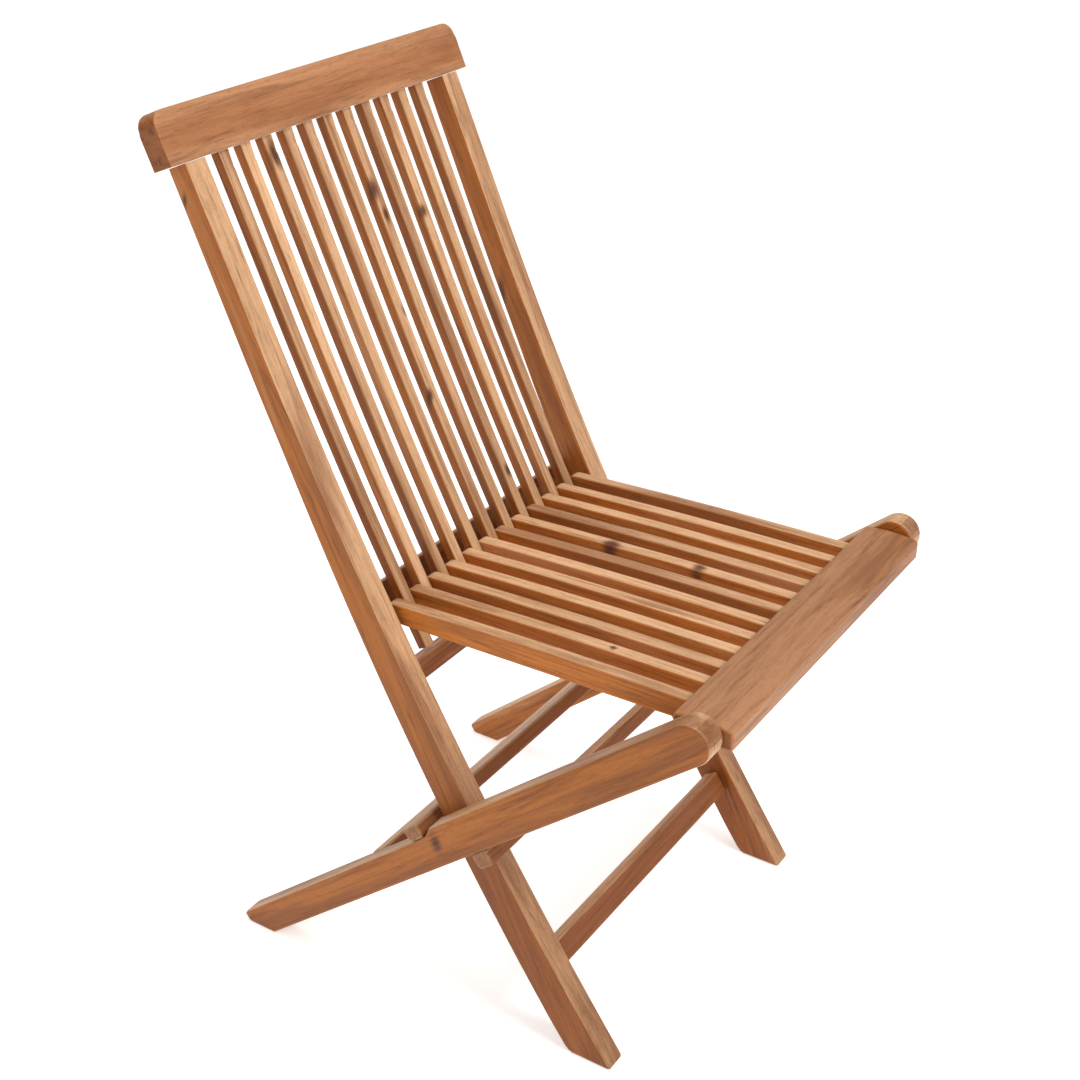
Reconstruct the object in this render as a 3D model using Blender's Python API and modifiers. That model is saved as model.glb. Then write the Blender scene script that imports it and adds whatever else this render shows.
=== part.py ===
"""Slatted wooden folding chair: curved back frame, hinged slat seat, sliding leg frame."""
import math
import bmesh
import bpy

# ---- driving dimensions, metres: X is the chair's width, -Y its front, Z up ----
Y_SHIFT = 0.00075          # moves the whole profile front to back
BEND_Z = 0.700             # the stiles are straight above this height and curved below it
BEND_Y = 0.1984            # front face of the stile at that height
TILT_TOP = math.radians(23.5)
TILT_FOOT = math.radians(34.7)
THIN_Z = 0.600             # the stiles deepen towards the foot below this height
ARC_R = BEND_Z / (math.sin(TILT_FOOT) - math.sin(TILT_TOP))
STILE_IN = 0.1740
STILE_OUT = 0.2000
STILE_DEPTH_FOOT = 0.0425
STILE_DEPTH_LOSS = 0.0155
STILE_DEPTH_POWER = 1.6
STILE_TOP_TAPER = 0.0125
STILE_STEPS = 30
HEEL_R = 0.0080
EDGE_R = 0.0028
GAP = 0.0003

RAIL_BOTTOM_Z = 0.8425
RAIL_HALF = 0.2164
RAIL_TALL = 0.0480
RAIL_THICK = 0.0230
RAIL_CORNER_R = 0.0140
RAIL_ROUND = 0.0060
RAIL_CRISP = 0.15

SLAT_COUNT = 11
SLAT_PITCH = 0.0288
SLAT_W = 0.0128
SLAT_D = 0.0110
SLAT_RECESS = 0.0086
SLAT_STEPS = 18
LOW_RAIL_Z = 0.3715
LOW_RAIL_TALL = 0.0210
LOW_RAIL_RECESS = 0.0080
LOW_RAIL_THICK = 0.0200
TIE_RAIL_Z = 0.4360
TIE_RAIL_TALL = 0.0265
TIE_RAIL_THICK = 0.0095
TIE_RAIL_RECESS = 0.0288
STRETCH_Z = 0.0900
STRETCH_TALL = 0.0265
STRETCH_THICK = 0.0180
STRETCH_RECESS = 0.0140

HINGE_Y = 0.0822
HINGE_Z = 0.4255
ROD_R = 0.0030
ROD_BLIND = 0.0120
ROD_HOLE_R = 0.00308

SEAT_COUNT = 10
SEAT_W = 0.0138
SEAT_END_X = 0.1615
SEAT_END_W = 0.0140
SEAT_REAR_Y = 0.0915
SEAT_FRONT_Y = -0.2425
SEAT_TOP_REAR = 0.4390
SEAT_RISE = 0.0105
SEAT_CROWN = 0.0018
SEAT_BOTTOM_REAR = 0.4188
SEAT_BOTTOM_RISE = 0.0080
SEAT_NOSE_R = 0.0090

FRAIL_BACK_Y = -0.2425
FRAIL_FRONT_Y = -0.3014
FRAIL_Z0 = 0.4360
FRAIL_Z1 = 0.4540
FRAIL_CROWN = 0.0050

PIVOT_S = 0.4978
PIVOT_N = 0.1655
LEG_R = 0.0205
LEG_IN = 0.2010
LEG_OUT = 0.2260
LEG_N0 = 0.1451
LEG_N1_LOW = 0.1795
LEG_N1_HIGH = 0.1855
LEG_WIDEN_S = 0.1380
LEG_WIDEN_LEN = 0.0120
LEG_ANGLE = math.radians(139.72)
PIN_R = 0.0050
PIN_HOLE_R = 0.00508
PIN_HEAD_IN = 0.0002

TOE_CUT = 0.0065
HEEL_RISE = 0.0096
FGUIDE = (0.1822, 0.2030, 0.1285, 0.1448)
RGUIDE = (0.1160, 0.1370, 0.1798, 0.1950)
RSTRETCH = (0.0210, 0.0420, 0.1600, 0.1795)

WOODS = {
    "beech_stile": (0.55, 0.30, 0.12, 0.48),
    "beech_rail": (0.48, 0.24, 0.09, 0.46),
    "beech_slat": (0.66, 0.43, 0.22, 0.50),
    "beech_leg": (0.54, 0.28, 0.10, 0.48),
    "beech_bar": (0.50, 0.26, 0.10, 0.50),
}
METALS = {"zinc_steel": (0.55, 0.54, 0.52, 0.35)}


# ---- helpers ----
def material(name):
    """Principled material of one finish."""
    mat = bpy.data.materials.get(name)
    if mat:
        return mat
    mat = bpy.data.materials.new(name)
    mat.use_nodes = True
    red, green, blue, rough = {**WOODS, **METALS}[name]
    shader = mat.node_tree.nodes["Principled BSDF"]
    shader.inputs["Base Color"].default_value = (red, green, blue, 1.0)
    shader.inputs["Roughness"].default_value = rough
    shader.inputs["Metallic"].default_value = 1.0 if name in METALS else 0.0
    return mat


def collection(name):
    """The named collection, made on first use."""
    coll = bpy.data.collections.get(name)
    if coll is None:
        coll = bpy.data.collections.new(name)
        bpy.context.scene.collection.children.link(coll)
    return coll


def front_y(z):
    """Front face of the stile at a height."""
    if z >= BEND_Z:
        return BEND_Y + Y_SHIFT + (z - BEND_Z) * math.tan(TILT_TOP)
    angle = math.asin(math.sin(TILT_TOP) + (BEND_Z - z) / ARC_R)
    return BEND_Y + Y_SHIFT - ARC_R * (math.cos(TILT_TOP) - math.cos(angle))


def tilt_at(z):
    """Lean of the stile from the vertical at a height."""
    if z >= BEND_Z:
        return TILT_TOP
    return math.asin(math.sin(TILT_TOP) + (BEND_Z - z) / ARC_R)


def stile_depth(z):
    """Depth of the stile square to its front face."""
    low = min(max(z, 0.0), THIN_Z) / THIN_Z
    return (STILE_DEPTH_FOOT - STILE_DEPTH_LOSS * low ** STILE_DEPTH_POWER
            - max(z - THIN_Z, 0.0) * STILE_TOP_TAPER)


def behind(z, depth, along=0.0):
    """Point (y, z) a depth behind the front curve and a way up along it."""
    tilt = tilt_at(z)
    return (front_y(z) + depth * math.cos(tilt) + along * math.sin(tilt),
            z - depth * math.sin(tilt) + along * math.cos(tilt))


def leg_point(s, n):
    """Point (y, z) from the leg frame's own length and height coordinates."""
    cos_a, sin_a = math.cos(LEG_ANGLE), math.sin(LEG_ANGLE)
    return (s * cos_a + n * sin_a + Y_SHIFT, s * sin_a - n * cos_a)


def prism(name, outline, x0, x1, mat, coll="folding_chair"):
    """Side outline in (y, z) drawn as a filled curve and extruded across the width."""
    curve = bpy.data.curves.new(name, "CURVE")
    curve.dimensions = "2D"
    curve.fill_mode = "BOTH"
    curve.extrude = abs(x1 - x0) / 2
    spline = curve.splines.new("POLY")
    spline.points.add(len(outline) - 1)
    for point, (y, z) in zip(spline.points, outline):
        point.co = (y, z, 0.0, 1.0)
    spline.use_cyclic_u = True
    obj = bpy.data.objects.new(name, curve)
    collection(coll).objects.link(obj)
    obj.rotation_euler = (math.pi / 2, 0.0, math.pi / 2)
    obj.location = ((x0 + x1) / 2, 0.0, 0.0)
    return to_mesh(obj, mat)


def to_mesh(curve_obj, mat):
    """Turns a curve object into a welded mesh object standing in the world frame."""
    bpy.context.view_layer.update()
    graph = bpy.context.evaluated_depsgraph_get()
    mesh = bpy.data.meshes.new_from_object(curve_obj.evaluated_get(graph))
    name = curve_obj.name
    home = curve_obj.users_collection[0]
    mesh.transform(curve_obj.matrix_world)
    bpy.data.objects.remove(curve_obj)
    work = bmesh.new()
    work.from_mesh(mesh)
    bmesh.ops.remove_doubles(work, verts=work.verts, dist=1e-6)
    bmesh.ops.recalc_face_normals(work, faces=work.faces)
    bmesh.ops.dissolve_limit(work, angle_limit=math.radians(0.05), verts=work.verts, edges=work.edges)
    work.to_mesh(mesh)
    work.free()
    mesh.materials.clear()
    mesh.materials.append(material(mat))
    mesh.name = name
    obj = bpy.data.objects.new(name, mesh)
    home.objects.link(obj)
    return obj


def soften(obj, width, segments=2, limit=50.0):
    """Rounds the long edges."""
    bevel = obj.modifiers.new("edges", "BEVEL")
    bevel.width = width
    bevel.segments = segments
    bevel.limit_method = "ANGLE"
    bevel.angle_limit = math.radians(limit)
    return obj


def keep_crisp(obj, at_end):
    """Rounds only the sharp long edges and leaves those of a butted end crisp."""
    work = bmesh.new()
    work.from_mesh(obj.data)
    layer = work.edges.layers.float.new("bevel_weight_edge")
    for edge in work.edges:
        butted = all(at_end(vert.co) for vert in edge.verts)
        sharp = edge.calc_face_angle(0.0) > math.radians(50.0)
        edge[layer] = 1.0 if sharp and not butted else 0.0
    work.to_mesh(obj.data)
    work.free()
    obj.modifiers["edges"].limit_method = "WEIGHT"


def shade_smooth(obj):
    """Smooth shading for turned pieces."""
    for face in obj.data.polygons:
        face.use_smooth = True


def rod(name, x0, x1, y, z, radius, mat, sides=24, coll="folding_chair"):
    """Round bar lying across the width."""
    mesh = bpy.data.meshes.new(name)
    work = bmesh.new()
    bmesh.ops.create_cone(work, cap_ends=True, cap_tris=False, segments=sides,
                          radius1=radius, radius2=radius, depth=abs(x1 - x0))
    work.to_mesh(mesh)
    work.free()
    obj = bpy.data.objects.new(name, mesh)
    collection(coll).objects.link(obj)
    obj.rotation_euler = (0.0, math.pi / 2, 0.0)
    obj.location = ((x0 + x1) / 2, y, z)
    mesh.materials.append(material(mat))
    shade_smooth(obj)
    return obj


def cut(obj, cutter):
    """Subtracts a hidden cutter."""
    cutter.hide_render = True
    cutter.display_type = "WIRE"
    boolean = obj.modifiers.new("cut", "BOOLEAN")
    boolean.operation = "DIFFERENCE"
    boolean.solver = "EXACT"
    boolean.object = cutter
    return obj


def bar_outline(z, depth, thick, tall):
    """Side outline of a straight rail set square to the back's lean."""
    tilt = tilt_at(z)
    back = (math.cos(tilt), -math.sin(tilt))
    up = (math.sin(tilt), math.cos(tilt))
    y0, z0 = behind(z, depth)
    return [(y0, z0),
            (y0 + thick * back[0], z0 + thick * back[1]),
            (y0 + thick * back[0] + tall * up[0], z0 + thick * back[1] + tall * up[1]),
            (y0 + tall * up[0], z0 + tall * up[1])]


def arc(cy, cz, radius, a0, a1, steps):
    """Points (y, z) along a circular arc, angles in radians."""
    return [(cy + radius * math.cos(a0 + (a1 - a0) * i / steps),
             cz + radius * math.sin(a0 + (a1 - a0) * i / steps)) for i in range(steps + 1)]


# ---- back frame ----
def rod_cutter():
    """Bore of the hinge rod through stiles and slats."""
    return rod("hinge_bore", -STILE_OUT + ROD_BLIND, STILE_OUT - ROD_BLIND,
               HINGE_Y + Y_SHIFT, HINGE_Z, ROD_HOLE_R, "zinc_steel", 24, "cutters")


def stile_outline():
    """Curved side outline of a stile, its foot cut level."""
    top = RAIL_BOTTOM_Z - GAP * 2
    heights = [top * i / STILE_STEPS for i in range(STILE_STEPS + 1)]
    front = [behind(z, 0.0) for z in heights]
    rear = []
    for z in heights:
        y, height = behind(z, stile_depth(z))
        if height > HEEL_R * 1.5:
            rear.append((y, height))
    heel_y = rear[0][0] - rear[0][1] * math.tan(TILT_FOOT)
    heel = [(heel_y + HEEL_R * 0.55, HEEL_R * 0.8), (heel_y - HEEL_R * 0.05, HEEL_R * 0.22),
            (heel_y - HEEL_R * 0.6, 0.0)]
    return front + rear[::-1] + heel


def stiles(bore):
    """Two bent side posts."""
    for side, sign in (("right", -1), ("left", 1)):
        obj = prism(f"stile_{side}", stile_outline(), sign * STILE_IN, sign * STILE_OUT, "beech_stile")
        soften(obj, EDGE_R)
        keep_crisp(obj, lambda point: point.z > RAIL_BOTTOM_Z - RAIL_THICK)
        cut(obj, bore)


def top_rail():
    """Head rail lying on the stile tops, its upper corners rounded."""
    curve = bpy.data.curves.new("top_rail", "CURVE")
    curve.dimensions = "2D"
    curve.fill_mode = "BOTH"
    curve.extrude = RAIL_THICK / 2
    points = [(-RAIL_HALF, 0.0), (RAIL_HALF, 0.0)]
    points += arc(RAIL_HALF - RAIL_CORNER_R, RAIL_TALL - RAIL_CORNER_R, RAIL_CORNER_R, 0.0, math.pi / 2, 6)
    points += arc(-RAIL_HALF + RAIL_CORNER_R, RAIL_TALL - RAIL_CORNER_R, RAIL_CORNER_R,
                  math.pi / 2, math.pi, 6)
    spline = curve.splines.new("POLY")
    spline.points.add(len(points) - 1)
    for point, (x, v) in zip(spline.points, points):
        point.co = (x, v, 0.0, 1.0)
    spline.use_cyclic_u = True
    obj = bpy.data.objects.new("top_rail", curve)
    collection("folding_chair").objects.link(obj)
    obj.rotation_euler = (math.pi / 2 - TILT_TOP, 0.0, 0.0)
    y, z = behind(RAIL_BOTTOM_Z, RAIL_THICK / 2)
    obj.location = (0.0, y, z)
    rail = to_mesh(obj, "beech_rail")
    weights = rail.data.attributes.new("bevel_weight_edge", "FLOAT", "EDGE")
    for edge in rail.data.edges:
        low = min(along_rail(rail.data.vertices[i].co) for i in edge.vertices)
        weights.data[edge.index].value = 1.0 if low > RAIL_TALL / 4 else RAIL_CRISP
    soften(rail, RAIL_ROUND, 3)
    rail.modifiers["edges"].limit_method = "WEIGHT"


def along_rail(point):
    """Height of a point above the head rail's bottom edge, measured up the lean."""
    y, z = behind(RAIL_BOTTOM_Z, 0.0)
    return (point.y - y) * math.sin(TILT_TOP) + (point.z - z) * math.cos(TILT_TOP)


def slat_outline():
    """Side outline of a back slat, following the bend."""
    low = LOW_RAIL_Z + (LOW_RAIL_TALL + GAP) * math.cos(tilt_at(LOW_RAIL_Z)) + SLAT_RECESS * math.sin(
        tilt_at(LOW_RAIL_Z))
    high = RAIL_BOTTOM_Z - GAP
    front = []
    rear = []
    for i in range(SLAT_STEPS + 1):
        z = low + (high - low) * i / SLAT_STEPS
        front.append(behind(z, SLAT_RECESS))
        rear.append(behind(z, SLAT_RECESS + SLAT_D))
    return front + rear[::-1]


def back_slats(bore):
    """Eleven slim slats of the back."""
    for i in range(SLAT_COUNT):
        x = (i - (SLAT_COUNT - 1) / 2) * SLAT_PITCH
        obj = prism(f"back_slat_{i + 1:02d}", slat_outline(), x - SLAT_W / 2, x + SLAT_W / 2, "beech_slat")
        soften(obj, 0.0015, 2)
        keep_crisp(obj, lambda point: point.z > RAIL_BOTTOM_Z - RAIL_THICK or point.z < LOW_RAIL_Z + RAIL_THICK)
        cut(obj, bore)


def cross_rail(name, outline, half, mat, edge=0.0025):
    """Straight bar across the frame."""
    obj = prism(name, outline, -half, half, mat)
    return soften(obj, edge)


def back_rails():
    """Lower slat rail, rear tie rail and the stretcher between the stile feet."""
    half = STILE_IN - GAP
    cross_rail("back_lower_rail", bar_outline(LOW_RAIL_Z, LOW_RAIL_RECESS, LOW_RAIL_THICK, LOW_RAIL_TALL),
               half, "beech_bar")
    cross_rail("back_tie_rail",
               bar_outline(TIE_RAIL_Z, TIE_RAIL_RECESS, TIE_RAIL_THICK, TIE_RAIL_TALL),
               half, "beech_bar", 0.002)
    cross_rail("front_stretcher", bar_outline(STRETCH_Z, STRETCH_RECESS, STRETCH_THICK, STRETCH_TALL),
               half, "beech_bar")


def hinge_rod():
    """Steel rod on which the seat turns."""
    reach = STILE_OUT - ROD_BLIND - GAP
    rod("hinge_rod", -reach, reach, HINGE_Y + Y_SHIFT, HINGE_Z, ROD_R, "zinc_steel")


# ---- seat ----
def seat_top(y):
    """Height of the seat slats' top over their length."""
    t = (SEAT_REAR_Y - y) / (SEAT_REAR_Y - SEAT_FRONT_Y)
    return SEAT_TOP_REAR + SEAT_RISE * t + SEAT_CROWN * math.sin(math.pi * t)


def seat_bottom(y):
    """Height of the seat slats' underside."""
    return SEAT_BOTTOM_REAR + SEAT_BOTTOM_RISE * (SEAT_REAR_Y - y) / (SEAT_REAR_Y - SEAT_FRONT_Y)


def seat_outline():
    """Side outline of a seat slat with its rounded rear end."""
    steps = 14
    front_y_pos = SEAT_FRONT_Y + GAP
    nose_y = SEAT_REAR_Y - SEAT_NOSE_R
    xs = [nose_y + (front_y_pos - nose_y) * i / steps for i in range(steps + 1)]
    bottom = [(y + Y_SHIFT, seat_bottom(y)) for y in xs]
    top = [(y + Y_SHIFT, seat_top(y)) for y in xs]
    mid = (seat_top(nose_y) + seat_bottom(nose_y)) / 2
    half = (seat_top(nose_y) - seat_bottom(nose_y)) / 2
    nose = [(nose_y + Y_SHIFT + SEAT_NOSE_R * math.cos(a), mid + half * math.sin(a))
            for a in [math.radians(-90 + 180 * i / 8) for i in range(1, 8)]]
    return top[::-1] + nose[::-1] + bottom


def seat_slats(bore):
    """Twelve seat slats."""
    places = [((i - (SEAT_COUNT - 1) / 2) * SLAT_PITCH, SEAT_W) for i in range(SEAT_COUNT)]
    places = [(-SEAT_END_X, SEAT_END_W)] + places + [(SEAT_END_X, SEAT_END_W)]
    for i, (x, width) in enumerate(places):
        obj = prism(f"seat_slat_{i + 1:02d}", seat_outline(), x - width / 2, x + width / 2, "beech_slat")
        soften(obj, 0.0018, 2)
        keep_crisp(obj, lambda point: point.y < SEAT_FRONT_Y + Y_SHIFT + GAP * 2)
        cut(obj, bore)


def front_rail_outline():
    """Side outline of the front rail with its crowned top."""
    top = []
    for i in range(9):
        t = i / 8
        y = FRAIL_BACK_Y + (FRAIL_FRONT_Y - FRAIL_BACK_Y) * t
        top.append((y + Y_SHIFT, FRAIL_Z1 + FRAIL_CROWN * math.sin(math.pi * (0.15 + 0.7 * t))))
    return [(FRAIL_FRONT_Y + Y_SHIFT, FRAIL_Z0), (FRAIL_BACK_Y + Y_SHIFT, FRAIL_Z0)] + top


def front_rail():
    """Front rail of the seat."""
    obj = prism("seat_front_rail", front_rail_outline(), -STILE_OUT, STILE_OUT, "beech_rail")
    soften(obj, 0.0035, 3)


# ---- leg frame ----
def leg_outline():
    """Side outline of a leg with its round head and level foot."""
    steps = 12
    points = []
    a0 = -math.pi / 2
    for i in range(steps + 1):
        a = a0 + math.pi * i / steps
        points.append(leg_point(PIVOT_S + LEG_R * math.cos(a), PIVOT_N + LEG_R * math.sin(a)))
    points.append(leg_point(LEG_WIDEN_S + LEG_WIDEN_LEN, PIVOT_N + LEG_R))
    points.append(leg_point(LEG_WIDEN_S, LEG_N1_LOW))
    tail_s = (HEEL_RISE - LEG_N1_LOW * -math.cos(LEG_ANGLE)) / math.sin(LEG_ANGLE)
    points.append(leg_point(tail_s, LEG_N1_LOW))
    heel_y, heel_z = leg_point(tail_s, LEG_N1_LOW)
    points.append((heel_y - TOE_CUT, 0.0))
    toe_s = -LEG_N0 * -math.cos(LEG_ANGLE) / math.sin(LEG_ANGLE)
    points.append((leg_point(toe_s, LEG_N0)[0], 0.0))
    return points


def legs(pin_bore):
    """Two straight legs."""
    for side, sign in (("right", -1), ("left", 1)):
        obj = prism(f"leg_{side}", leg_outline(), sign * LEG_IN, sign * LEG_OUT, "beech_leg")
        soften(obj, EDGE_R, 2, 50.0)
        cut(obj, pin_bore)


def leg_box(name, box, half):
    """Cross bar set square to the legs."""
    s0, s1, n0, n1 = box
    outline = [leg_point(s0, n0), leg_point(s1, n0), leg_point(s1, n1), leg_point(s0, n1)]
    return cross_rail(name, outline, half, "beech_bar")


def leg_bars():
    """Two guide bars clasping the stiles and the stretcher between the rear feet."""
    leg_box("front_guide_bar", FGUIDE, LEG_OUT)
    leg_box("rear_guide_bar", RGUIDE, LEG_OUT)
    leg_box("rear_stretcher", RSTRETCH, LEG_IN - GAP)


def pivot_pins():
    """Steel pins at the leg heads."""
    y, z = leg_point(PIVOT_S, PIVOT_N)
    for side, sign in (("right", -1), ("left", 1)):
        rod(f"pivot_pin_{side}", sign * (STILE_OUT + PIN_HEAD_IN), sign * (LEG_OUT - 0.0060), y, z,
            PIN_R, "zinc_steel")


def pin_cutter():
    """Blind bores of the pivot pins."""
    y, z = leg_point(PIVOT_S, PIVOT_N)
    reach = LEG_OUT - 0.0060 + GAP
    return rod("pin_bore", -reach, reach, y, z, PIN_HOLE_R, "zinc_steel", 24, "cutters")


def build():
    """Builds every piece of the chair."""
    for obj in list(bpy.data.objects):
        bpy.data.objects.remove(obj)
    bore = rod_cutter()
    pin_bore = pin_cutter()
    stiles(bore)
    top_rail()
    back_slats(bore)
    back_rails()
    hinge_rod()
    seat_slats(bore)
    front_rail()
    legs(pin_bore)
    leg_bars()
    pivot_pins()


build()
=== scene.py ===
import math

import bmesh
import bpy
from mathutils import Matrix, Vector


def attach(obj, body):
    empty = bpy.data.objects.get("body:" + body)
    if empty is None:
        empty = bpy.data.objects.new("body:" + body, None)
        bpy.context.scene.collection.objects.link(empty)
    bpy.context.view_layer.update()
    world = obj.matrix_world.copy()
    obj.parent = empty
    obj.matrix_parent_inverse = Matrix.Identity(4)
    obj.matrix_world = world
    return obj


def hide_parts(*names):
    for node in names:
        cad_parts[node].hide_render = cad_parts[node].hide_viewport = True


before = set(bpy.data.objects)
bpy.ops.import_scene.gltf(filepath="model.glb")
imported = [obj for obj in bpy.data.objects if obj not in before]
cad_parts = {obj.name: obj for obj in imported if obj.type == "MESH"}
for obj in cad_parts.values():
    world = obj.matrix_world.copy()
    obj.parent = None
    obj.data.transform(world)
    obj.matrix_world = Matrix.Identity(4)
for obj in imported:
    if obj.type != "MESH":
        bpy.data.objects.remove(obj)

bl_info = {
    "name": "Slatted Folding Chair",
    "version": (1, 0, 0),
    "blender": (4, 5, 0),
    "location": "3D View > Sidebar > Chair",
    "description": "Oiled hardwood folding chair with a curved slatted back and seat",
    "category": "Add Mesh",
}

# ---- the chair's own measures, metres ----
PROFILE_SHIFT = 0.00075
BEND_Z = 0.700
BEND_Y = 0.1984
TILT_TOP = math.radians(23.5)
TILT_FOOT = math.radians(34.7)
ARC_R = BEND_Z / (math.sin(TILT_FOOT) - math.sin(TILT_TOP))
SLAT_RECESS = 0.0086
SLAT_D = 0.0110
SLAT_LOW_Z = 0.39357
SLAT_HIGH_Z = 0.8422
SEAT_REAR_Y = 0.0915
SEAT_FRONT_Y = -0.2422
SEAT_OUTER_X = 0.1615
SEAT_NOSE = 0.0090
LEG_ANGLE = math.radians(139.72)
BACK_SLATS = [f"back_slat_{i:02d}" for i in range(1, 12)]
SEAT_SLATS = [f"seat_slat_{i:02d}" for i in range(1, 13)]
SEAT_TOP_Z = 0.4390
SEAT_TOP_RISE = 0.0105
SEAT_DISH = 0.0018
SEAT_UNDER_Z = 0.4188
SEAT_UNDER_RISE = 0.0080
BACK_STEPS = 28
SEAT_STEPS = 24
NOSE_STEPS = 12
BUTT_REACH = 0.0005
SLAT_FOOT_REACH = 0.002
SLAT_HEAD_REACH = 0.020

# ---- looks ----
KNOT_RAGGED = 1.5
KNOT_CORE = (0.36, 0.24, 0.18)
TONE_GREEN = 1.2
TONE_BLUE = 1.45
# tint of the painted contact shade multiplied in towards the floor
FLOOR_SHADE_TINT = (0.66, 0.58, 0.50)
# reach of the painted highlight on the rounded edges
EDGE_HIGHLIGHT_RADIUS = 0.0016
GROWTH_SHADES = ((0.32, (0.40, 0.33, 0.27)), (0.45, (0.82, 0.77, 0.72)), (0.56, (1.0, 1.0, 1.0)))

# ---- view and light ----
CAMERA_LENS = 56.872
CAMERA_SHIFT = (-0.0648, 0.0463)
CAMERA_AZ = math.radians(59.2212)
CAMERA_EL = math.radians(30.6788)
CAMERA_ROLL = math.radians(1.3793)
CAMERA_DISTANCE = 1.7349
CAMERA_TARGET = (0.0261, -0.0425, 0.3999)
# each soft light: name, place, aim, size, watts
SOFT_LIGHTS = (("key", (-0.3, -2.6, 2.9), (0.0, 0.0, 0.45), 1.4, 70.0),
               ("side", (-3.0, 0.6, 1.6), (0.0, 0.0, 0.4), 1.8, 9.0),
               ("top", (0.6, 0.6, 3.6), (0.0, 0.0, 0.4), 2.0, 34.0))
FLOOR_GLOW = 0.42
WORLD_STRENGTH = 0.58
FLOOR_HALF = 12.0
WHITE = (1.0, 1.0, 1.0, 1.0)


def linear(hex_code):
    """sRGB hex to linear red, green, blue."""
    parts = [int(hex_code[i:i + 2], 16) / 255 for i in (1, 3, 5)]
    return tuple(p / 12.92 if p <= 0.04045 else ((p + 0.055) / 1.055) ** 2.4 for p in parts)


class ChairSizes(bpy.types.PropertyGroup):
    """Sizes of the slats."""

    slat_width: bpy.props.FloatProperty(
        name="Back slat width", description="Width of a back slat", default=0.0128, unit="LENGTH")
    seat_width: bpy.props.FloatProperty(
        name="Seat slat width", description="Width of a seat slat", default=0.0138, unit="LENGTH")
    pitch: bpy.props.FloatProperty(
        name="Slat pitch", description="Spacing of the slats across the chair", default=0.0288, unit="LENGTH")
    slat_edge: bpy.props.FloatProperty(
        name="Slat edge radius", description="Rounding of the slats' long edges", default=0.0016, unit="LENGTH")


class ChairColours(bpy.types.PropertyGroup):
    """Colours of the oiled wood."""

    face: bpy.props.FloatVectorProperty(
        name="Face wood", description="Colour of the faces that look forwards and up", subtype="COLOR",
        default=linear("#CDA077"), min=0.0, max=1.0)
    # painted shade: side is the deeper orange laid on faces turned sideways, in place of their shade and warm
    # bounce light
    side: bpy.props.FloatVectorProperty(
        name="Side wood", description="Deeper colour of the side faces", subtype="COLOR",
        default=linear("#AA6322"), min=0.0, max=1.0)
    heart: bpy.props.FloatVectorProperty(
        name="Heart streaks", description="Colour of the darker grain", subtype="COLOR",
        default=linear("#7A451F"), min=0.0, max=1.0)
    rail: bpy.props.FloatVectorProperty(
        name="Rail wood", description="Colour of the broad rails", subtype="COLOR",
        default=linear("#A87650"), min=0.0, max=1.0)


# ---- material nodes ----
def add_node(tree, kind, inputs=None, **settings):
    """Adds one node with its settings; each input is a socket to link or a plain value."""
    node = tree.nodes.new(kind)
    for key, value in settings.items():
        setattr(node, key, value)
    for key, value in (inputs or {}).items():
        if isinstance(value, bpy.types.NodeSocket):
            tree.links.new(value, node.inputs[key])
        else:
            node.inputs[key].default_value = value
    return node


def paint(colour, gain=1.0):
    """An opaque colour, made lighter or darker."""
    return (*(min(1.0, c * gain) for c in colour[:3]), 1.0)


# lays real grain, knots and tone, and also painted shade and painted highlight
def stain_or_shade(tree, base, source, span, strength, colour, blend="MIX"):
    """Lays a colour over base, from none where source is at the span's start to strength at its end."""
    mask = add_node(tree, "ShaderNodeMapRange", {"Value": source, "From Min": span[0], "From Max": span[1],
                                                 "To Max": strength}).outputs["Result"]
    return add_node(tree, "ShaderNodeMix", {0: mask, 6: base, 7: colour}, data_type="RGBA",
                    blend_type=blend).outputs[2]


def knot(tree, place, ragged, centre, radius, stretch, grain_turn):
    """Mask of one dark knot or ingrown streak, drawn out along the grain with a ragged rim."""
    shifted = add_node(tree, "ShaderNodeMapping",
                       {"Vector": place, "Location": tuple(-c for c in centre)}).outputs[0]
    turned = add_node(tree, "ShaderNodeMapping", {"Vector": shifted, "Rotation": grain_turn,
                                                  "Scale": (1.0, 1.0, 1.0 / stretch)}).outputs[0]
    length = add_node(tree, "ShaderNodeVectorMath", {0: turned}, operation="LENGTH").outputs["Value"]
    ratio = add_node(tree, "ShaderNodeMath", {0: length, 1: radius}, operation="DIVIDE").outputs[0]
    offset = add_node(tree, "ShaderNodeMath", {0: ragged, 1: 0.5}, operation="SUBTRACT").outputs[0]
    rim = add_node(tree, "ShaderNodeMath", {0: offset, 1: KNOT_RAGGED}, operation="MULTIPLY").outputs[0]
    reach = add_node(tree, "ShaderNodeMath", {0: ratio, 1: rim}, operation="ADD").outputs[0]
    return add_node(tree, "ShaderNodeMath", {0: 1.0, 1: reach}, operation="SUBTRACT", use_clamp=True).outputs[0]


def heart_band(tree, base, place, broad, heart, band):
    """Stains a board's middle with heartwood whose edges wander with the broad grain."""
    centre, upward, half = band
    offset = add_node(tree, "ShaderNodeMapping",
                      {"Vector": place, "Location": tuple(-c for c in centre)}).outputs[0]
    rise = add_node(tree, "ShaderNodeVectorMath", {0: offset, 1: upward},
                    operation="DOT_PRODUCT").outputs["Value"]
    level = add_node(tree, "ShaderNodeMath", {0: broad, 1: 0.5}, operation="SUBTRACT").outputs[0]
    wander = add_node(tree, "ShaderNodeMath", {0: level, 1: half * 2.0}, operation="MULTIPLY").outputs[0]
    moved = add_node(tree, "ShaderNodeMath", {0: rise, 1: wander}, operation="ADD").outputs[0]
    apart = add_node(tree, "ShaderNodeMath", {0: moved}, operation="ABSOLUTE").outputs[0]
    return stain_or_shade(tree, base, apart, (half * 1.15, half * 0.75), 0.55, paint(heart, 1.5))


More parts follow.
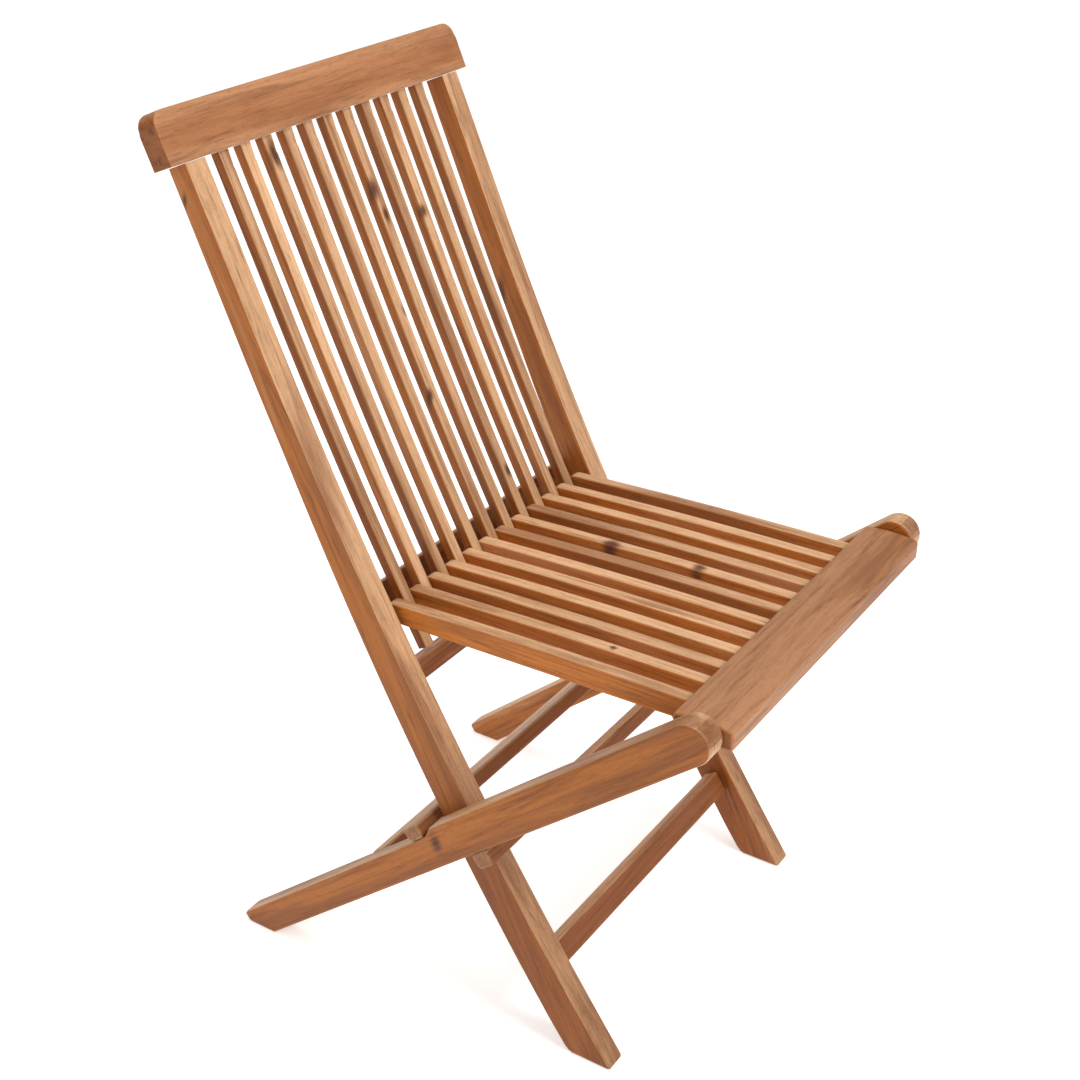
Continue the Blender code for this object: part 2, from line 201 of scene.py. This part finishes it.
def board_tint(tree, base, tone, tones):
    """Gives each board its own tone: the darker ones are redder."""
    own = add_node(tree, "ShaderNodeAttribute", attribute_name=tone).outputs["Fac"]
    gain = add_node(tree, "ShaderNodeMapRange", {"Value": own, "To Min": tones[0],
                                                 "To Max": tones[1]}).outputs["Result"]
    green = add_node(tree, "ShaderNodeMath", {0: gain, 1: TONE_GREEN}, operation="POWER").outputs[0]
    blue = add_node(tree, "ShaderNodeMath", {0: gain, 1: TONE_BLUE}, operation="POWER").outputs[0]
    tint = add_node(tree, "ShaderNodeCombineColor", {"Red": gain, "Green": green, "Blue": blue}).outputs[0]
    return add_node(tree, "ShaderNodeMix", {0: 1.0, 6: base, 7: tint}, data_type="RGBA",
                    blend_type="MULTIPLY").outputs[2]


def oiled_wood(name, face, side, heart, grain, knots=(), shade_axis=0, wide=1.0, seed=0.0, tone=None,
               tones=(0.74, 1.12), floor_shade=False, band=None):
    """Planed and oiled teak-like hardwood: straight grain, open pores, low sheen.

    Long darker grain bands run with the piece and short pores break the surface. Faces turned
    sideways (forwards on the cross bars) are painted deeper as painted shade and warm bounce light.
    """
    grain_turn, grain_axis = grain
    mat = bpy.data.materials.new(name)
    mat.use_nodes = True
    tree = mat.node_tree
    shader = tree.nodes["Principled BSDF"]
    own_space = add_node(tree, "ShaderNodeTexCoord")
    place, normal = own_space.outputs["Object"], own_space.outputs["Normal"]
    along = add_node(tree, "ShaderNodeMapping", {"Vector": place, "Rotation": grain_turn}).outputs[0]
    # heartwood streaks: 15 to 40 mm across, several hundred along
    broad_at = add_node(tree, "ShaderNodeMapping", {
        "Vector": along, "Location": (seed, 0.0, seed), "Scale": (34.0 / wide, 34.0 / wide, 2.4)}).outputs[0]
    broad = add_node(tree, "ShaderNodeTexNoise", {
        "Vector": broad_at, "Scale": 1.0, "Detail": 5.0, "Roughness": 0.55, "Distortion": 0.4}).outputs["Fac"]
    # growth bands: 1 to 3 mm wide, bent a little along the piece
    band_at = add_node(tree, "ShaderNodeMapping", {
        "Vector": along, "Location": (seed * 2, seed, 0.0),
        "Scale": (330.0 / wide, 260.0 / wide, 8.0)}).outputs[0]
    bands = add_node(tree, "ShaderNodeTexNoise", {
        "Vector": band_at, "Scale": 1.0, "Detail": 6.0, "Roughness": 0.68, "Distortion": 0.9}).outputs["Fac"]
    # pores: 0.6 mm wide, 10 mm long, coarser than the real ones so that they show
    pore_at = add_node(tree, "ShaderNodeMapping", {"Vector": along, "Scale": (1250.0, 1250.0, 90.0)}).outputs[0]
    pores = add_node(tree, "ShaderNodeTexNoise", {
        "Vector": pore_at, "Scale": 1.0, "Detail": 3.0, "Roughness": 0.65}).outputs["Fac"]

    # painted shade: faces turned along shade_axis take the side colour, in place of their shade and warm bounce
    # light
    split = add_node(tree, "ShaderNodeSeparateXYZ", {"Vector": normal}).outputs[shade_axis]
    if shade_axis == 0:
        side_shade = add_node(tree, "ShaderNodeMath", {0: split}, operation="ABSOLUTE").outputs[0]
    else:
        side_shade = add_node(tree, "ShaderNodeMath", {0: split, 1: -1.0}, operation="MULTIPLY").outputs[0]
    base = stain_or_shade(tree, paint(face), side_shade, (0.40, 0.80), 1.0, paint(side))
    # end grain drinks the oil and goes dark
    ended = add_node(tree, "ShaderNodeVectorMath", {0: normal, 1: grain_axis},
                     operation="DOT_PRODUCT").outputs["Value"]
    ended = add_node(tree, "ShaderNodeMath", {0: ended}, operation="ABSOLUTE").outputs[0]
    base = stain_or_shade(tree, base, ended, (0.72, 0.97), 0.75, paint(heart))
    if band:
        base = heart_band(tree, base, place, broad, heart, band)
    shade = add_node(tree, "ShaderNodeValToRGB", {"Fac": bands})
    for position, _ in GROWTH_SHADES[2:]:
        shade.color_ramp.elements.new(position)
    for element, (position, colour) in zip(shade.color_ramp.elements, GROWTH_SHADES):
        element.position = position
        element.color = paint(colour)
    base = add_node(tree, "ShaderNodeMix", {0: 0.85, 6: base, 7: shade.outputs["Color"]}, data_type="RGBA",
                    blend_type="MULTIPLY").outputs[2]
    base = stain_or_shade(tree, base, broad, (0.52, 0.64), 0.62, paint(heart))
    base = stain_or_shade(tree, base, broad, (0.45, 0.33), 0.30, paint(face, 1.25))
    base = stain_or_shade(tree, base, pores, (0.56, 0.70), 0.55, paint(heart, 0.6))
    if tone:
        base = board_tint(tree, base, tone, tones)
    for centre, radius, stretch in knots:
        mask = knot(tree, place, bands, centre, radius, stretch, grain_turn)
        base = stain_or_shade(tree, base, mask, (0.0, 0.5), 0.75, paint(heart, 0.75))
        core = paint(tuple(c * k for c, k in zip(heart, KNOT_CORE)))
        base = stain_or_shade(tree, base, mask, (0.35, 0.80), 0.85, core)
    if floor_shade:
        # painted shade: the wood is darkened towards the floor, in place of the contact shade at the feet
        height = add_node(tree, "ShaderNodeSeparateXYZ", {"Vector": place}).outputs["Z"]
        base = stain_or_shade(tree, base, height, (0.26, 0.17), 0.85, paint(FLOOR_SHADE_TINT), "MULTIPLY")
    # painted highlight: the rounded arrises are painted paler, in place of the light they catch
    rounded = add_node(tree, "ShaderNodeBevel", {"Radius": EDGE_HIGHLIGHT_RADIUS}, samples=4).outputs["Normal"]
    flat = add_node(tree, "ShaderNodeNewGeometry").outputs["True Normal"]
    edge_highlight = add_node(tree, "ShaderNodeVectorMath", {0: rounded, 1: flat},
                      operation="DOT_PRODUCT").outputs["Value"]
    base = stain_or_shade(tree, base, edge_highlight, (0.985, 0.85), 0.26, paint(face, 1.2))
    tree.links.new(base, shader.inputs["Base Color"])
    rough = add_node(tree, "ShaderNodeMapRange", {"Value": bands, "To Min": 0.62, "To Max": 0.42})
    tree.links.new(rough.outputs["Result"], shader.inputs["Roughness"])
    ridges = add_node(tree, "ShaderNodeMath", {0: bands, 1: 0.7}, operation="MULTIPLY").outputs[0]
    pits = add_node(tree, "ShaderNodeMath", {0: pores, 1: -0.5}, operation="MULTIPLY").outputs[0]
    relief = add_node(tree, "ShaderNodeMath", {0: ridges, 1: pits}, operation="ADD").outputs[0]
    bump = add_node(tree, "ShaderNodeBump", {"Height": relief, "Strength": 0.5, "Distance": 0.0008})
    tree.links.new(bump.outputs["Normal"], shader.inputs["Normal"])
    shader.inputs["IOR"].default_value = 1.5
    shader.inputs["Specular IOR Level"].default_value = 0.3
    return mat


def zinc_plated_steel():
    """Zinc plated steel rod, drawn and plated: grey, satin, with faint turned lines."""
    mat = bpy.data.materials.new("Zinc plated steel")
    mat.use_nodes = True
    tree = mat.node_tree
    shader = tree.nodes["Principled BSDF"]
    place = add_node(tree, "ShaderNodeTexCoord").outputs["Object"]
    spread = add_node(tree, "ShaderNodeMapping", {"Vector": place, "Scale": (900.0, 120.0, 120.0)}).outputs[0]
    lines = add_node(tree, "ShaderNodeTexNoise", {"Vector": spread, "Scale": 1.0, "Detail": 2.0}).outputs["Fac"]
    base = stain_or_shade(tree, paint(linear("#9A9C9C")), lines, (0.3, 0.7), 1.0, paint(linear("#C2C4C2")))
    tree.links.new(base, shader.inputs["Base Color"])
    rough = add_node(tree, "ShaderNodeMapRange", {"Value": lines, "To Min": 0.26, "To Max": 0.46})
    tree.links.new(rough.outputs["Result"], shader.inputs["Roughness"])
    bump = add_node(tree, "ShaderNodeBump", {"Height": lines, "Strength": 0.2, "Distance": 0.0001})
    tree.links.new(bump.outputs["Normal"], shader.inputs["Normal"])
    shader.inputs["Metallic"].default_value = 1.0
    return mat


def coat(nodes, mat):
    """Puts a material on CAD nodes' own slots."""
    for name in nodes:
        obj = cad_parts[name]
        for slot in obj.material_slots:
            slot.material = mat


# ---- shapes ----
def behind_front(z, depth):
    """Point (y, z) a depth behind the back's curved front."""
    if z >= BEND_Z:
        tilt = TILT_TOP
        y = BEND_Y + (z - BEND_Z) * math.tan(TILT_TOP)
    else:
        tilt = math.asin(math.sin(TILT_TOP) + (BEND_Z - z) / ARC_R)
        y = BEND_Y - ARC_R * (math.cos(TILT_TOP) - math.cos(tilt))
    return y + PROFILE_SHIFT + depth * math.cos(tilt), z - depth * math.sin(tilt)


def back_slat_side():
    """Side outline of a back slat."""
    heights = [SLAT_LOW_Z + (SLAT_HIGH_Z - SLAT_LOW_Z) * i / BACK_STEPS for i in range(BACK_STEPS + 1)]
    front = [behind_front(z, SLAT_RECESS) for z in heights]
    rear = [behind_front(z, SLAT_RECESS + SLAT_D) for z in heights]
    return front + rear[::-1]


def seat_slat_side():
    """Side outline of a seat slat: dished top, straight underside, round rear nose."""
    def forward(y):
        return (SEAT_REAR_Y - y) / (SEAT_REAR_Y - SEAT_FRONT_Y)

    def top(y):
        return SEAT_TOP_Z + SEAT_TOP_RISE * forward(y) + SEAT_DISH * math.sin(math.pi * forward(y))

    def bottom(y):
        return SEAT_UNDER_Z + SEAT_UNDER_RISE * forward(y)

    nose = SEAT_REAR_Y - SEAT_NOSE
    ys = [nose + (SEAT_FRONT_Y - nose) * i / SEAT_STEPS for i in range(SEAT_STEPS + 1)]
    middle = (top(nose) + bottom(nose)) / 2
    half = (top(nose) - bottom(nose)) / 2
    turns = [math.radians(90 - 180 * i / NOSE_STEPS) for i in range(1, NOSE_STEPS)]
    outline = [(y, top(y)) for y in ys[::-1]]
    outline += [(nose + SEAT_NOSE * math.cos(a), middle + half * math.sin(a)) for a in turns]
    outline += [(y, bottom(y)) for y in ys]
    return [(y + PROFILE_SHIFT, z) for y, z in outline]


def slat_blank(name, outline, width, edge, at_end):
    """One slat at the chair's middle; a Bevel modifier rounds the long edges, not the butted ends."""
    mesh = bpy.data.meshes.new(name)
    work = bmesh.new()
    left = [work.verts.new((-width / 2, y, z)) for y, z in outline]
    face = work.faces.new(left)
    pulled = bmesh.ops.extrude_face_region(work, geom=[face])
    verts = [v for v in pulled["geom"] if isinstance(v, bmesh.types.BMVert)]
    bmesh.ops.translate(work, verts=verts, vec=(width, 0.0, 0.0))
    bmesh.ops.recalc_face_normals(work, faces=work.faces)
    weight = work.edges.layers.float.new("bevel_weight_edge")
    for line in work.edges:
        butted = all(at_end(vert.co) for vert in line.verts)
        sharp = line.calc_face_angle(0.0) > math.radians(50.0)
        line[weight] = 1.0 if sharp and not butted else 0.0
    work.to_mesh(mesh)
    work.free()
    obj = bpy.data.objects.new(name, mesh)
    bpy.context.scene.collection.objects.link(obj)
    bevel = obj.modifiers.new("edges", "BEVEL")
    bevel.width = edge
    bevel.segments = 3
    bevel.limit_method = "WEIGHT"
    return obj


def slat_row_tree():
    """Geometry Nodes: repeats one slat across the chair, with an outer pair of its own."""
    tree = bpy.data.node_groups.new("Slat row", "GeometryNodeTree")
    face = tree.interface
    face.new_socket("Slat", in_out="INPUT", socket_type="NodeSocketGeometry")
    for name, kind, value in (("Count", "NodeSocketInt", 10), ("Pitch", "NodeSocketFloat", 0.0288),
                              ("Outer distance", "NodeSocketFloat", 0.0), ("Outer count", "NodeSocketInt", 0),
                              ("Seed", "NodeSocketInt", 3), ("Wood", "NodeSocketMaterial", None)):
        socket = face.new_socket(name, in_out="INPUT", socket_type=kind)
        if value is not None:
            socket.default_value = value
    face.new_socket("Row", in_out="OUTPUT", socket_type="NodeSocketGeometry")
    given = tree.nodes.new("NodeGroupInput").outputs
    out = tree.nodes.new("NodeGroupOutput")
    less = add_node(tree, "ShaderNodeMath", {0: given["Count"], 1: 1.0}, operation="SUBTRACT").outputs[0]
    width = add_node(tree, "ShaderNodeMath", {0: less, 1: given["Pitch"]}, operation="MULTIPLY").outputs[0]
    start = add_node(tree, "ShaderNodeMath", {0: width, 1: -0.5}, operation="MULTIPLY").outputs[0]
    start_at = add_node(tree, "ShaderNodeCombineXYZ", {"X": start}).outputs[0]
    step = add_node(tree, "ShaderNodeCombineXYZ", {"X": given["Pitch"]}).outputs[0]
    line = add_node(tree, "GeometryNodeMeshLine", {"Count": given["Count"], "Start Location": start_at,
                                                   "Offset": step}).outputs["Mesh"]
    far = given["Outer distance"]
    first = add_node(tree, "ShaderNodeMath", {0: far, 1: -1.0}, operation="MULTIPLY").outputs[0]
    apart = add_node(tree, "ShaderNodeMath", {0: far, 1: 2.0}, operation="MULTIPLY").outputs[0]
    outer_at = add_node(tree, "ShaderNodeCombineXYZ", {"X": first}).outputs[0]
    outer_step = add_node(tree, "ShaderNodeCombineXYZ", {"X": apart}).outputs[0]
    outer = add_node(tree, "GeometryNodeMeshLine", {"Count": given["Outer count"], "Start Location": outer_at,
                                                    "Offset": outer_step}).outputs["Mesh"]
    joined = tree.nodes.new("GeometryNodeJoinGeometry")
    for source in (outer, line):
        tree.links.new(source, joined.inputs[0])
    copies = add_node(tree, "GeometryNodeInstanceOnPoints", {"Points": joined.outputs[0],
                                                             "Instance": given["Slat"]}).outputs[0]
    pick = add_node(tree, "FunctionNodeRandomValue", {"Seed": given["Seed"]}, data_type="FLOAT").outputs[1]
    toned = add_node(tree, "GeometryNodeStoreNamedAttribute", {"Geometry": copies, "Value": pick,
                                                               "Name": "board_tone"},
                     data_type="FLOAT", domain="INSTANCE").outputs[0]
    real = add_node(tree, "GeometryNodeRealizeInstances", {"Geometry": toned}).outputs[0]
    painted = add_node(tree, "GeometryNodeSetMaterial",
                       {"Geometry": real, "Material": given["Wood"]}).outputs[0]
    tree.links.new(painted, out.inputs[0])
    return tree


def slat_row(name, blank, values):
    """Runs the slat row on a blank and keeps the result as one plain mesh."""
    tree = bpy.data.node_groups.get("Slat row") or slat_row_tree()
    modifier = blank.modifiers.new("row", "NODES")
    modifier.node_group = tree
    for item in tree.interface.items_tree:
        if item.in_out == "INPUT" and item.name in values:
            modifier[item.identifier] = values[item.name]
    bpy.context.view_layer.update()
    shape = blank.evaluated_get(bpy.context.evaluated_depsgraph_get())
    mesh = bpy.data.meshes.new_from_object(shape)
    bpy.data.objects.remove(blank)
    if len(mesh.polygons) < 100:
        raise RuntimeError(f"{name} came out empty")
    obj = bpy.data.objects.new(name, mesh)
    bpy.context.scene.collection.objects.link(obj)
    return obj


def grain_along(angle):
    """Turn onto the grain axis, and the grain's direction, for a piece lying at an angle in the side view."""
    return (math.pi / 2 - angle, 0.0, 0.0), (0.0, math.cos(angle), math.sin(angle))


BACK_GRAIN = grain_along(math.radians(64.0))
LEG_GRAIN = grain_along(LEG_ANGLE)
SEAT_GRAIN = grain_along(math.radians(180.0))
CROSS_GRAIN = ((0.0, -math.pi / 2, 0.0), (1.0, 0.0, 0.0))


# knots and ingrown dark patches: place, radius and how far each is drawn out along the grain
BACK_KNOTS = (((0.0250, 0.2373, 0.7651), 0.008, 2.6), ((0.0290, 0.2270, 0.7400), 0.006, 2.2),
              ((0.0833, 0.2223, 0.7305), 0.007, 1.6), ((-0.0055, 0.1537, 0.5782), 0.005, 3.0),
              ((0.0605, 0.1057, 0.4803), 0.006, 2.4), ((-0.0860, 0.2620, 0.8200), 0.008, 6.0),
              ((0.0050, 0.1900, 0.6500), 0.005, 5.0))
SEAT_KNOTS = (((0.0400, -0.0350, 0.4460), 0.012, 6.5), ((0.0420, -0.1350, 0.4500), 0.010, 8.0),
              ((0.1511, 0.0000, 0.4410), 0.005, 2.0), ((-0.1296, -0.1400, 0.4500), 0.005, 2.5))
STILE_KNOTS = (((0.1740, 0.2680, 0.7920), 0.006, 2.0), ((0.1740, 0.1900, 0.6100), 0.007, 7.0),
               ((-0.2000, 0.2660, 0.8080), 0.004, 2.5), ((-0.2000, 0.1000, 0.5600), 0.004, 8.0))
LEG_KNOTS = (((-0.2260, -0.0030, 0.2260), 0.010, 1.5),)


# ---- operators ----
class CHAIR_OT_back_slats(bpy.types.Operator):
    """Makes the eleven curved back slats."""

    bl_idname = "chair.back_slats"
    bl_label = "Back slats"

    def execute(self, context):
        sizes = context.scene.chair_sizes
        colours = context.scene.chair_colours
        wood = oiled_wood("Oiled teak, back slats", colours.face, colours.side, colours.heart, BACK_GRAIN,
                          BACK_KNOTS, tone="board_tone")
        blank = slat_blank("back_blank", back_slat_side(), sizes.slat_width, sizes.slat_edge,
                           lambda point: (point.z > SLAT_HIGH_Z - SLAT_HEAD_REACH
                                          or point.z < SLAT_LOW_Z + SLAT_FOOT_REACH))
        row = slat_row("back_slats", blank, {"Count": 11, "Pitch": sizes.pitch, "Seed": 5, "Wood": wood})
        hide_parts(*BACK_SLATS)
        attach(row, "back_frame")
        return {"FINISHED"}


class CHAIR_OT_seat_slats(bpy.types.Operator):
    """Makes the twelve seat slats."""

    bl_idname = "chair.seat_slats"
    bl_label = "Seat slats"

    def execute(self, context):
        sizes = context.scene.chair_sizes
        colours = context.scene.chair_colours
        wood = oiled_wood("Oiled teak, seat slats", colours.face, paint(colours.side, 1.2), colours.heart,
                          SEAT_GRAIN, SEAT_KNOTS, seed=3.0, tone="board_tone", tones=(0.88, 1.18))
        blank = slat_blank("seat_blank", seat_slat_side(), sizes.seat_width, sizes.slat_edge,
                           lambda point: point.y < SEAT_FRONT_Y + PROFILE_SHIFT + BUTT_REACH)
        row = slat_row("seat_slats", blank, {"Count": 10, "Pitch": sizes.pitch, "Seed": 11, "Wood": wood,
                                             "Outer distance": SEAT_OUTER_X, "Outer count": 2})
        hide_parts(*SEAT_SLATS)
        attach(row, "seat")
        return {"FINISHED"}


class CHAIR_OT_frame_wood(bpy.types.Operator):
    """Finishes the stiles and legs."""

    bl_idname = "chair.frame_wood"
    bl_label = "Stiles and legs"

    def execute(self, context):
        colours = context.scene.chair_colours
        # the stiles carry painted shade darkening them towards the floor
        stile = oiled_wood("Oiled teak, stiles", colours.face, colours.side, colours.heart, BACK_GRAIN,
                           STILE_KNOTS, wide=1.6, seed=7.0, floor_shade=True)
        leg = oiled_wood("Oiled teak, legs", colours.face, colours.side, colours.heart, LEG_GRAIN,
                         LEG_KNOTS, wide=1.6, seed=12.0)
        coat(("stile_left", "stile_right"), stile)
        coat(("leg_left", "leg_right"), leg)
        return {"FINISHED"}


class CHAIR_OT_rail_wood(bpy.types.Operator):
    """Finishes the broad head and seat rails and the slim cross bars."""

    bl_idname = "chair.rail_wood"
    bl_label = "Rails and bars"

    def execute(self, context):
        colours = context.scene.chair_colours
        broad = oiled_wood("Oiled teak, broad rails", colours.rail, colours.side, colours.heart, CROSS_GRAIN,
                           wide=2.2, seed=4.0)
        # painted shade: the cross bars' forward faces are painted dark heart colour, in place of the shade
        # under the seat
        slim = oiled_wood("Oiled teak, cross bars", colours.face, paint(colours.heart, 1.25), colours.heart,
                          CROSS_GRAIN, shade_axis=1, wide=1.4, seed=9.0)
        head = oiled_wood("Oiled teak, head rail", paint(colours.rail, 1.15), colours.side,
                          colours.heart, CROSS_GRAIN, wide=2.2, seed=2.0,
                          band=((0.0, 0.2700, 0.8620), (0.0, math.sin(TILT_TOP), math.cos(TILT_TOP)), 0.013))
        coat(("seat_front_rail",), broad)
        coat(("top_rail",), head)
        coat(("back_lower_rail", "back_tie_rail", "front_stretcher", "front_guide_bar", "rear_guide_bar",
              "rear_stretcher"), slim)
        return {"FINISHED"}


class CHAIR_OT_steel(bpy.types.Operator):
    """Finishes the hinge rod and pivot pins."""

    bl_idname = "chair.steel"
    bl_label = "Rod and pins"

    def execute(self, context):
        coat(("hinge_rod", "pivot_pin_left", "pivot_pin_right"), zinc_plated_steel())
        return {"FINISHED"}


def soft_box(name, place, aim, size, watts):
    """A square studio light turned towards a point."""
    data = bpy.data.lights.new(name, "AREA")
    data.shape = "SQUARE"
    data.size = size
    data.energy = watts
    lamp = bpy.data.objects.new(name, data)
    bpy.context.scene.collection.objects.link(lamp)
    lamp.location = place
    lamp.rotation_euler = (Vector(aim) - Vector(place)).to_track_quat("-Z", "Y").to_euler()


def pale_floor():
    """Plain matt floor with the faintest mottling."""
    mesh = bpy.data.meshes.new("floor")
    work = bmesh.new()
    bmesh.ops.create_grid(work, x_segments=1, y_segments=1, size=FLOOR_HALF)
    work.to_mesh(mesh)
    work.free()
    mat = bpy.data.materials.new("White studio vinyl")
    mat.use_nodes = True
    tree = mat.node_tree
    place = add_node(tree, "ShaderNodeTexCoord").outputs["Object"]
    mottle = add_node(tree, "ShaderNodeTexNoise", {"Vector": place, "Scale": 3.0}).outputs["Fac"]
    base = stain_or_shade(tree, paint(linear("#F4F4F4")), mottle, (0.2, 0.8), 1.0, paint(linear("#F8F8F8")))
    shader = tree.nodes["Principled BSDF"]
    tree.links.new(base, shader.inputs["Base Color"])
    shader.inputs["Emission Color"].default_value = WHITE
    shader.inputs["Emission Strength"].default_value = FLOOR_GLOW
    shader.inputs["Roughness"].default_value = 0.9
    shader.inputs["Specular IOR Level"].default_value = 0.1
    mesh.materials.append(mat)
    obj = bpy.data.objects.new("floor", mesh)
    bpy.context.scene.collection.objects.link(obj)


def view_camera():
    """Camera high on the chair's right front."""
    forward = Vector((math.sin(CAMERA_AZ) * math.cos(CAMERA_EL), math.cos(CAMERA_AZ) * math.cos(CAMERA_EL),
                      -math.sin(CAMERA_EL)))
    level = Vector((math.cos(CAMERA_AZ), -math.sin(CAMERA_AZ), 0.0))
    upright = level.cross(forward)
    right = math.cos(CAMERA_ROLL) * level + math.sin(CAMERA_ROLL) * upright
    up = -math.sin(CAMERA_ROLL) * level + math.cos(CAMERA_ROLL) * upright
    data = bpy.data.cameras.new("view")
    data.sensor_width = 36.0
    data.lens = CAMERA_LENS
    data.shift_x, data.shift_y = CAMERA_SHIFT
    camera = bpy.data.objects.new("view", data)
    bpy.context.scene.collection.objects.link(camera)
    matrix = camera.matrix_world.copy()
    place = Vector(CAMERA_TARGET) - CAMERA_DISTANCE * forward
    for row in range(3):
        matrix[row][0] = right[row]
        matrix[row][1] = up[row]
        matrix[row][2] = -forward[row]
        matrix[row][3] = place[row]
    camera.matrix_world = matrix
    bpy.context.scene.camera = camera


class CHAIR_OT_stage(bpy.types.Operator):
    """Sets the floor, the soft light and the camera."""

    bl_idname = "chair.stage"
    bl_label = "Stage"

    def execute(self, context):
        pale_floor()
        view_camera()
        for light in SOFT_LIGHTS:
            soft_box(*light)
        world = bpy.data.worlds.new("studio")
        world.use_nodes = True
        sky = world.node_tree.nodes["Background"]
        sky.inputs["Color"].default_value = WHITE
        sky.inputs["Strength"].default_value = WORLD_STRENGTH
        context.scene.world = world
        context.scene.view_settings.view_transform = "Standard"
        return {"FINISHED"}


OPERATORS = (CHAIR_OT_back_slats, CHAIR_OT_seat_slats, CHAIR_OT_frame_wood, CHAIR_OT_rail_wood,
             CHAIR_OT_steel, CHAIR_OT_stage)


class CHAIR_PT_panel(bpy.types.Panel):
    """Lists the chair's pieces."""

    bl_idname = "CHAIR_PT_panel"
    bl_label = "Folding Chair"
    bl_space_type = "VIEW_3D"
    bl_region_type = "UI"
    bl_category = "Chair"

    def draw(self, context):
        for group in (context.scene.chair_sizes, context.scene.chair_colours):
            for name in group.__annotations__:
                self.layout.prop(group, name)
        for operator in OPERATORS:
            self.layout.operator(operator.bl_idname)


CLASSES = (ChairSizes, ChairColours, *OPERATORS, CHAIR_PT_panel)


def register():
    """Registers the classes and the scene's properties."""
    for cls in CLASSES:
        bpy.utils.register_class(cls)
    bpy.types.Scene.chair_sizes = bpy.props.PointerProperty(type=ChairSizes)
    bpy.types.Scene.chair_colours = bpy.props.PointerProperty(type=ChairColours)


def unregister():
    """Removes what register added."""
    del bpy.types.Scene.chair_colours
    del bpy.types.Scene.chair_sizes
    for cls in reversed(CLASSES):
        bpy.utils.unregister_class(cls)


def main():
    """Builds the chair's looks on the frame."""
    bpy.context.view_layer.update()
    register()
    bpy.ops.chair.back_slats()
    bpy.ops.chair.seat_slats()
    bpy.ops.chair.frame_wood()
    bpy.ops.chair.rail_wood()
    bpy.ops.chair.steel()
    bpy.ops.chair.stage()


if __name__ == "__main__":
    main()
